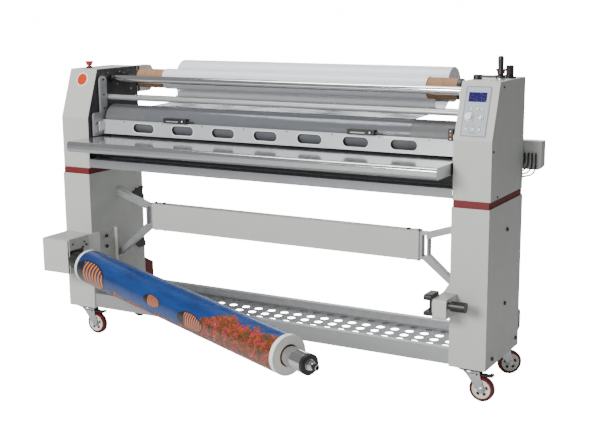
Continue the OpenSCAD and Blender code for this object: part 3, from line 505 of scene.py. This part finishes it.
class Shape:
    """Collects solids in one mesh."""

    def __init__(self):
        self.bm = bmesh.new()

    def lathe(self, profile, where, sides=32):
        """profile is (along, radius) pairs in mm, turned about where's local Z."""
        rings = []
        for a, r in profile:
            if r <= 0:
                rings.append([self.bm.verts.new(where @ Vector((0, 0, a * MM)))])
                continue
            rings.append([self.bm.verts.new(where @ (Vector((*circle_point(r, k, sides), a)) * MM))
                          for k in range(sides)])
        for low, high in zip(rings, rings[1:]):
            for k in range(sides):
                j = (k + 1) % sides
                if len(low) == 1:
                    self.bm.faces.new((low[0], high[j], high[k]))
                elif len(high) == 1:
                    self.bm.faces.new((low[k], low[j], high[0]))
                else:
                    self.bm.faces.new((low[k], low[j], high[j], high[k]))
        if len(rings[0]) > 1:
            self.bm.faces.new(list(reversed(rings[0])))
        if len(rings[-1]) > 1:
            self.bm.faces.new(rings[-1])
        return self

    def prism(self, outline, low, high, where):
        """outline in mm in where's local XY, from low to high along its Z."""
        bottom = [self.bm.verts.new(where @ Vector((x * MM, y * MM, low * MM))) for x, y in outline]
        top = [self.bm.verts.new(where @ Vector((x * MM, y * MM, high * MM))) for x, y in outline]
        count = len(outline)
        for k in range(count):
            j = (k + 1) % count
            self.bm.faces.new((bottom[k], bottom[j], top[j], top[k]))
        self.bm.faces.new(list(reversed(bottom)))
        self.bm.faces.new(top)
        return self

    def ring(self, outer, inner, low, high, where):
        """Closed band between two outlines with the same number of points."""
        rows = []
        for outline, z in ((outer, low), (outer, high), (inner, high), (inner, low)):
            rows.append([self.bm.verts.new(where @ Vector((x * MM, y * MM, z * MM))) for x, y in outline])
        count = len(outer)
        for k in range(count):
            j = (k + 1) % count
            for r in range(4):
                a, b = rows[r], rows[(r + 1) % 4]
                self.bm.faces.new((a[k], a[j], b[j], b[k]))
        return self

    def make(self, name, material, body, bevel=0.0, smooth=True):
        bmesh.ops.recalc_face_normals(self.bm, faces=self.bm.faces)
        if smooth:
            for f in self.bm.faces:
                f.smooth = len(f.verts) <= 4
            for e in self.bm.edges:
                if len(e.link_faces) == 2 and e.calc_face_angle(0) > math.radians(32):
                    e.smooth = False
        mesh = bpy.data.meshes.new(name)
        self.bm.to_mesh(mesh)
        self.bm.free()
        mesh.materials.append(material)
        o = bpy.data.objects.new(name, mesh)
        bpy.context.scene.collection.objects.link(o)
        if bevel:
            b = o.modifiers.new("edge", "BEVEL")
            b.width = bevel * MM
            b.segments = 2
            b.limit_method = "ANGLE"
        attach(o, body)
        return o


def facing(x, y, z, normal):
    """A frame at that layout point whose local Z is normal."""
    q = Vector((0, 0, 1)).rotation_difference(Vector(normal).normalized())
    return Matrix.Translation(at(x, y, z)) @ q.to_matrix().to_4x4()


def round_box(x0, y0, x1, y1, r, steps=5):
    points = []
    corners = ((x1 - r, y1 - r, 0), (x0 + r, y1 - r, 90), (x0 + r, y0 + r, 180), (x1 - r, y0 + r, 270))
    for cx, cy, start in corners:
        for k in range(steps + 1):
            a = math.radians(start + 90 * k / steps)
            points.append((cx + r * math.cos(a), cy + r * math.sin(a)))
    return points


def obround(cx, cy, length, height, steps=10):
    half, r = (length - height) / 2, height / 2
    points = []
    for side, start in ((1, -90), (-1, 90)):
        for k in range(steps + 1):
            a = math.radians(start + 180 * k / steps)
            points.append((cx + side * half + r * math.cos(a), cy + r * math.sin(a)))
    return points


def cap_screw(shape, where, r):
    """Socket cap screw head standing on a face, with a round recess."""
    shape.lathe([(0, r), (r * 0.9, r), (r * 1.05, r * 0.88), (r * 1.05, r * 0.55), (r * 0.55, r * 0.5),
                 (r * 0.55, 0)], where, 18)


# ------------------------------------------------------------------ screws
screws = Shape()
for side in (-1, 1):
    inner = (-side, 0, 0)
    for y, z, r in ((327, 643, 4), (375, 645, 4), (325, 416, 4), (372, 418, 4)):
        cap_screw(screws, facing(side * 867, y, z, inner), r)
    for y, z in ((113, 1178), (113, 1110), (113, 1050), (128, 1004)):
        cap_screw(screws, facing(side * BRACKET_X, y, z, inner), 4)
for y, z, r in ((96, 456, 8), (96, 407, 8), (-60, 460, 4), (-72, 438, 5), (-140, 462, 4), (-48, 444, 5)):
    cap_screw(screws, facing(-869, y, z, (1, 0, 0)), r)
for x in (995, 1075):
    cap_screw(screws, facing(x, 450, 945, (0, 1, 0)), 3)
    cap_screw(screws, facing(x, 450, 880, (0, 1, 0)), 3)
screws.make("bracket_screws", DARK_STEEL, "frame")

plate_screws = Shape()
for side in (-1, 1):
    for y, z in ((230, 1150), (250, 1205), (165, 1205), (330, 1120)):
        cap_screw(plate_screws, facing(side * PLATE_X, y, z, (-side, 0, 0)), 3.2)
plate_screws.make("plate_screws", ZINC, "frame")

bar_screws = Shape()
for x in (-737, -527, -316, -105, 105, 316, 527, 737):
    cap_screw(bar_screws, facing(x, GUIDE_FRONT_Y, 993, (0, -1, 0)), 2.6)
bar_screws.make("guide_screws", DARK_STEEL, "guide")

# pale rims round the guide bar's windows
rims = Shape()
face_front = Matrix.Translation(at(0, GUIDE_FRONT_Y, 0)) @ Matrix.Rotation(math.pi / 2, 4, "X")
for k in range(-3, 4):
    x = WINDOW_PITCH * k
    rims.ring(obround(x, WINDOW_Z, 121, 47), obround(x, WINDOW_Z, 114.4, 40.4), -0.2, 0.7, face_front)
rims.make("window_rims", WHITE, "guide", bevel=0.25)

# White strip on the guide bar's front: a painted reflection of the bar's rear lip, not a real part.
lip_glint = Shape()
lip_glint.prism(round_box(545, 991, 675, 998.6, 1), -0.2, 0.6, face_front)
lip_glint.make("painted_lip_reflection", WHITE, "guide")

# ------------------------------------------------------------------ slitters and photo-eye
for tag, x, body in SLITTERS:
    blade = Shape()
    blade.prism(round_box(x - 44, 1006, x + 20, 1011, 1.5), 16.2, 17.2, face_front)
    blade.make(tag + "_slitter_blade", ALUMINIUM, body, bevel=0.2)
    knob = Shape()
    knob.lathe([(0, 3.6), (3, 3.6), (4, 2.8), (4, 0)], facing(x + 44, 80, 1011, (0, -1, 0)), 20)
    knob.make(tag + "_slitter_knob", WHITE, body)

eye = Shape()
eye.prism(round_box(838, 1003, 858, 1048, 2), 37, 58, face_front)
eye.make("photo_eye_block", BLACK, "frame", bevel=0.8)
dot = Shape()
dot.lathe([(0, 4.5), (1.6, 4.5), (2.2, 3.4), (2.2, 0)], facing(848, 40, 1025, (0, -1, 0)), 20)
dot.make("photo_eye_lamp", ORANGE, "frame")
studs = Shape()
for z in (1010, 1039):
    studs.lathe([(0, 3), (1.2, 3), (1.8, 2.2), (1.8, 0)], facing(848, 40, z, (0, -1, 0)), 16)
studs.make("photo_eye_studs", WHITE, "frame")

# ------------------------------------------------------------------ control panel
SLOPE = (Matrix.Translation(at(0, HOUSING_FRONT_Y, CREASE_Z))
         @ Matrix.Rotation(math.pi / 2 - math.atan(SLOPE_RUN / SLOPE_RISE), 4, "X"))
border = Shape()
border.ring(round_box(895, 16, 994, 209, 5), round_box(898.5, 19.5, 990.5, 205.5, 3), 1.6, 2.3, SLOPE)
border.make("panel_border", PANEL_EDGE, "frame", bevel=0.2)


def lcd_glass():
    """Blue window with scattered small pale cells, standing for any read-out."""
    m, n, l, p = new_material("lcd_glass")
    c = object_coords(n, l)
    cells = noise_fac(n, l, object_coords(n, l, (1, 0.6, 0.6)), 260, 1)
    lit = math_node(n, l, "GREATER_THAN", cells, 0.66)
    base = mix_rgb(n, l, noise_fac(n, l, c, 30, 2), (0.007, 0.002, 0.075), (0.010, 0.003, 0.10))
    glow = math_node(n, l, "MULTIPLY", lit, 0.35)
    l.new(mix_rgb(n, l, glow, base, (0.25, 0.35, 0.6)), p.inputs["Base Color"])
    p.inputs["Roughness"].default_value = 0.12
    p.inputs["Coat Weight"].default_value = 0.6
    add_bump(n, l, p, cells, 0.02, 0.0001)
    return m


screen = Shape()
screen.prism(round_box(908.6, 148.6, 979.4, 185.4, 1.2), 0.9, 1.9, SLOPE)
screen.make("lcd_window", lcd_glass(), "frame", bevel=0.2)
marks = Shape()
for k in range(11):
    a = math.radians(225 - 27 * k)
    tick = Vector((DIAL[0] + 22 * math.cos(a), DIAL[1] + 22 * math.sin(a), 0)) * MM
    spot = SLOPE @ Matrix.Translation(tick)
    marks.prism(round_box(-2.2, -0.6, 2.2, 0.6, 0.3, 2), 1.6, 2.0, spot @ Matrix.Rotation(a, 4, "Z"))
for x, s, w in ((919, 121, 7), (959, 121, 6), (917, 53, 6), (943, 53, 6), (968, 53, 6), (957, 97, 7),
                (940, 30, 26)):
    marks.prism(round_box(x - w / 2, s - 0.9, x + w / 2, s + 0.9, 0.4, 2), 1.6, 2.0, SLOPE)
marks.make("panel_marks", PRINT_DARK, "frame", smooth=False)

# ------------------------------------------------------------------ crank dome, stop collars
dome = Shape()
dome.lathe([(0.4, 17.6), (3, 17.8), (7, 17.4), (10.4, 14.5), (11.4, 9), (11.6, 5)],
           facing(*CRANK_END, HOUSING_TOP + 0.2, (0, 0, 1)), 40)
dome.make("crank_dome", CHROME, "crank")
collars = Shape()
for x, y in ESTOPS:
    collars.lathe([(0.2, 17), (2, 17.4), (3.6, 16), (4, 14.4), (8.7, 14.4), (9.2, 13.6), (9.2, 9.2)],
                  facing(x, y, HOUSING_TOP, (0, 0, 1)), 36)
collars.make("stop_collars", BLACK, "frame")

# ------------------------------------------------------------------ castors
for tag, x, y, yaw in CASTORS:
    base = Matrix.Translation(at(x, y, 0)) @ Matrix.Rotation(math.radians(yaw), 4, "Z")
    axle = (base @ Matrix.Translation(Vector((CASTOR_TRAIL, 0, WHEEL_R)) * MM)
            @ Matrix.Rotation(math.pi / 2, 4, "X"))
    faces = [axle @ Matrix.Rotation(math.pi, 4, "X"), axle]
    hub = Shape()
    for spin in faces:
        hub.lathe([(8.4, 35.6), (12.6, 37.6), (13.2, 36.8), (13.2, 34), (10.4, 31.5), (9.6, 13), (13.4, 12),
                   (13.4, 6.6), (8.4, 6.6)], spin, 48)
    hub.make(tag + "_hub", HUB, tag + "_roll")
    # Black pads in the hub's slots: painted shade standing for the dark inside of those recesses.
    slot_shade = Shape()
    for spin in faces:
        for k in range(5):
            turned = spin @ Matrix.Rotation(math.radians(72 * k + 18), 4, "Z")
            slot_shade.prism(round_box(17.5, -6.5, 27.5, 6.5, 3), 9.4, 10.6, turned)
    slot_shade.make(tag + "_hub_slot_shade", BLACK, tag + "_roll")
    nut = Shape()
    for spin in faces:
        nut.prism(hexagon(9), 18.6, 24, spin)
        nut.lathe([(18.5, 11), (19.4, 11), (19.4, 9.4)], spin, 28)
    nut.make(tag + "_axle_nuts", ZINC, tag + "_swivel", bevel=0.5)
    race = Shape()
    race.lathe([(111, 26), (113, 29), (116, 31), (119, 31.4), (122, 31), (124.4, 29.5)], base, 48)
    race.make(tag + "_swivel_race", ZINC, tag + "_swivel")
    bolts = Shape()
    for bx in (-28, 28):
        for by in (-22, 22):
            spot = base @ Matrix.Translation(Vector((bx, by, 125)) * MM) @ Matrix.Rotation(math.pi, 4, "X")
            bolts.prism(hexagon(6), 0, 4, spot)
    bolts.make(tag + "_plate_bolts", ZINC, "frame", bevel=0.4)

# ------------------------------------------------------------------ label disc, idler rings, column stubs
badge = SLOPE @ Matrix.Translation(Vector((-945, 178, 0)) * MM)
rim_disc = Shape()
rim_disc.lathe([(0.2, 32), (1.1, 32), (1.4, 31.2), (1.4, 24), (0.2, 24)], badge, 56)
rim_disc.make("badge_rim", WHITE, "frame")
disc = Shape()
disc.lathe([(0.2, 26.4), (1.7, 26.4), (2.0, 25.6)], badge, 56)
disc.make("badge_disc", ORANGE, "frame")
rings = Shape()
for side in (-1, 1):
    for (y, z), r, hole in ((IDLER, 24, 17.2), (STATIC_BAR, 19, 12.6), (SUPPLY, 30, 17.5)):
        rings.lathe([(0.2, r), (3.4, r), (4.2, r - 1), (4.2, hole), (0.2, hole)],
                    facing(side * PLATE_X, y, z, (-side, 0, 0)), 40)
rings.make("bearing_rings", BLACK, "frame")
stubs = Shape()
for x in (-965, 915):
    stubs.lathe([(0, 4), (-1.5, 7.5), (-6, 7.5), (-7.2, 6)], facing(x, 16, 129.7, (0, 0, 1)), 24)
stubs.make("column_stubs", BLACK, "frame")

# ------------------------------------------------------------------ film webs
WRAP_R = 67.8
LANDING = 91.2
FILM_X = (-635, 652)
LINER_X = (-655, 690)


def arc_points(centre, r, start, stop, count):
    return [(centre[0] + r * math.cos(math.radians(start + (stop - start) * k / count)),
             centre[1] + r * math.sin(math.radians(start + (stop - start) * k / count)))
            for k in range(count + 1)]


def straight_points(a, b, count):
    """Points between a and b, without either."""
    return [(a[0] + (b[0] - a[0]) * k / count, a[1] + (b[1] - a[1]) * k / count) for k in range(1, count)]


def web(name, route, x0, x1, material, wrinkle, columns=90):
    """A thin sheet along route, (y, z) points in mm, from x0 to x1; wrinkle(x, t) lifts it into folds."""
    lengths = [0.0]
    for a, b in zip(route, route[1:]):
        lengths.append(lengths[-1] + math.dist(a, b))
    mesh = bpy.data.meshes.new(name)
    verts, faces = [], []
    for i, (y, z) in enumerate(route):
        t = lengths[i] / lengths[-1]
        before, after = route[max(i - 1, 0)], route[min(i + 1, len(route) - 1)]
        dy, dz = after[0] - before[0], after[1] - before[1]
        size = math.hypot(dy, dz)
        for k in range(columns + 1):
            x = x0 + (x1 - x0) * k / columns
            lift = wrinkle(x, t)
            verts.append(at(x, y + lift * dz / size, z - lift * dy / size))
    row = columns + 1
    for i in range(len(route) - 1):
        for k in range(columns):
            faces.append((i * row + k, i * row + k + 1, (i + 1) * row + k + 1, (i + 1) * row + k))
    mesh.from_pydata(verts, [], faces)
    mesh.materials.append(material)
    for f in mesh.polygons:
        f.use_smooth = True
    o = bpy.data.objects.new(name, mesh)
    bpy.context.scene.collection.objects.link(o)
    return o, lengths[-1]


route = [(347.0 + 29.4 * k / 12, 1176.0 - 91.8 * k / 12) for k in range(12)]
route += arc_points(TURN_BAR, 11.2, 22, -89, 8)
end = arc_points(TOP_ROLLER, WRAP_R, LANDING, 258, 40)[0]
start = route[-1]
route += straight_points(start, end, 16)
route += arc_points(TOP_ROLLER, WRAP_R, LANDING, 258, 40)


def film_folds(x, t):
    free = math.exp(-((t - 0.45) / 0.13) ** 2)
    edge = math.exp(-((x + 420) / 170) ** 2) + 0.25
    return free * edge * 1.6 * noise.noise(Vector((x * 0.02 + t * 9, t * 14, 3.1)))


film, film_length = web("film_sheet", route, *FILM_X,
                        clear_film("clear_film", (0.105, 0.113, 0.126), 0.97, 9, (0.70, 0.72, 0.75)),
                        film_folds)
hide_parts("film_web")
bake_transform(film)

liner_route = arc_points(REAR_ROLL, 73.6, 215, 236, 4)
bar_side = arc_points(TURN_BAR, 12.2, 20, -40, 4)
a, b = liner_route[-1], bar_side[0]
liner_route += straight_points(a, b, 10)
liner_route += bar_side

def liner_folds(x, t):
    return 0.5 * math.sin(math.pi * t) * noise.noise(Vector((x * 0.012, t * 5, 8.2)))


liner, liner_length = web("liner_sheet", liner_route, *LINER_X,
                          clear_film("liner_film", (0.30, 0.31, 0.33), 0.95, 7), liner_folds)
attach(liner, "frame")

# ------------------------------------------------------------------ studio
FLOOR_HALF = 150
FLOOR_GLOW = 16.0
BACKDROP_GLOW = 16
AMBIENT = 0.29
floor_mesh = bpy.data.meshes.new("studio_floor")
floor_corners = [(x * FLOOR_HALF, y * FLOOR_HALF, 0) for x, y in ((-1, -1), (1, -1), (1, 1), (-1, 1))]
floor_mesh.from_pydata(floor_corners, [], [(0, 1, 2, 3)])
floor = bpy.data.objects.new("studio_floor", floor_mesh)
bpy.context.scene.collection.objects.link(floor)
floor_mat, fn, fl, fp = new_material("studio_floor")
fp.inputs["Base Color"].default_value = (0.55, 0.55, 0.55, 1)
fp.inputs["Roughness"].default_value = 0.9
fp.inputs["Specular IOR Level"].default_value = 0.1
fp.inputs["Emission Color"].default_value = (1, 1, 1, 1)
floor_seen = fn.new("ShaderNodeLightPath")
glow = math_node(fn, fl, "MULTIPLY", floor_seen.outputs["Is Camera Ray"], FLOOR_GLOW)
fl.new(glow, fp.inputs["Emission Strength"])
floor_mesh.materials.append(floor_mat)

world = bpy.data.worlds.new("studio")
bpy.context.scene.world = world
world.use_nodes = True
wn, wl = world.node_tree.nodes, world.node_tree.links
shown, ambient = wn["Background"], wn.new("ShaderNodeBackground")
shown.inputs["Color"].default_value = (1, 1, 1, 1)
shown.inputs["Strength"].default_value = BACKDROP_GLOW
ambient.inputs["Color"].default_value = (0.97, 0.98, 1, 1)
ambient.inputs["Strength"].default_value = AMBIENT
seen, pick = wn.new("ShaderNodeLightPath"), wn.new("ShaderNodeMixShader")
wl.new(seen.outputs["Is Camera Ray"], pick.inputs["Fac"])
wl.new(ambient.outputs[0], pick.inputs[1])
wl.new(shown.outputs[0], pick.inputs[2])
wl.new(pick.outputs[0], wn["World Output"].inputs["Surface"])


def area_light(name, place, target, size, power, color=(1, 1, 1)):
    data = bpy.data.lights.new(name, "AREA")
    data.shape = "RECTANGLE"
    data.size, data.size_y = size
    data.energy = power
    data.color = color
    o = bpy.data.objects.new(name, data)
    bpy.context.scene.collection.objects.link(o)
    o.location = place
    o.rotation_euler = (Vector(target) - Vector(place)).to_track_quat("-Z", "Y").to_euler()


area_light("key_light", (-1.0, -6.6, 3.5), (0, 0, 0.7), (2.6, 2.0), 600, (1, 0.99, 0.97))
area_light("front_fill", (0.2, -6.2, 1.2), (0.2, 0, 0.7), (3.0, 1.2), 105)
area_light("top_light", (-0.3, 0.6, 4.4), (0, 0, 0.6), (4.0, 1.8), 170)
area_light("rear_light", (-0.5, 4.5, 2.6), (0, 0, 0.8), (4.0, 2.0), 90)
